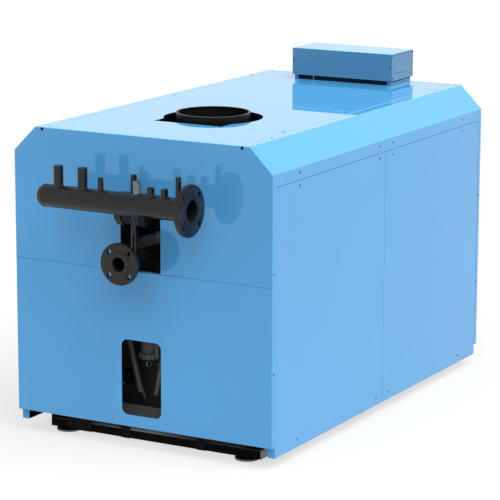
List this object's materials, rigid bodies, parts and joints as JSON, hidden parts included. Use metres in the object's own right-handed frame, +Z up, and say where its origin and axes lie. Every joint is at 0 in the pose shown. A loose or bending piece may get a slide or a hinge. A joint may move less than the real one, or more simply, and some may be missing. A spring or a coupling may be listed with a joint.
{
  "type": "industrial boiler",
  "caption": "Floor-standing industrial hot-water boiler in a folded sheet casing with chamfered top edges, a flue collar on top, a flanged flow header and return pipe at the rear.",
  "frame": {"origin": "centre of the whole boiler's footprint, header included, at floor level", "axes": "+Z up, +Y from the rear end with the pipes to the front end with the wiring box, +X to the right seen from the rear"},
  "size_m": [1.16, 2.148, 1.384],
  "materials": {
    "casing_blue": "gloss",
    "box_blue": "gloss",
    "pipe_black": "satin",
    "boiler_grey": "satin",
    "frame_black": "satin",
    "foot_steel": "satin",
    "galvanised": "satin"
  },
  "bodies": {
    "root": {"air_vent_stub": "pipe_black", "base_beams": "frame_black", "base_rail_left": "frame_black", "base_rail_right": "frame_black", "boiler_body": "boiler_grey", "boiler_rear_cover": "boiler_grey", "bypass_pipe": "pipe_black", "control_box_base": "box_blue", "control_box_cover": "box_blue", "control_box_plinth": "box_blue", "drain_cup": "boiler_grey", "drain_pipes": "boiler_grey", "drip_tray": "frame_black", "flow_header": "pipe_black", "flue_collar": "pipe_black", "flue_neck": "pipe_black", "frame_posts": "frame_black", "front_panel_lower": "casing_blue", "front_panel_upper": "casing_blue", "header_flange": "pipe_black", "header_nipple": "galvanised", "header_socket_open": "pipe_black", "header_sockets": "pipe_black", "levelling_feet": "pipe_black", "outlet_body": "pipe_black", "outlet_branch": "pipe_black", "outlet_pipe": "boiler_grey", "rear_panel_lower": "casing_blue", "rear_panel_upper": "casing_blue", "rear_straps": "frame_black", "return_flange": "pipe_black", "return_pipe": "pipe_black", "saddle_front": "frame_black", "saddle_rear": "frame_black", "shoulder_left_front": "casing_blue", "shoulder_left_rear": "casing_blue", "shoulder_right_front": "casing_blue", "shoulder_right_rear": "casing_blue", "side_panel_left_front": "casing_blue", "side_panel_left_rear": "casing_blue", "side_panel_right_front": "casing_blue", "side_panel_right_rear": "casing_blue", "top_plate_front": "casing_blue", "top_plate_middle": "casing_blue", "top_plate_rear": "casing_blue", "top_rail_left": "frame_black", "top_rail_right": "frame_black"}
  },
  "joints": []
}
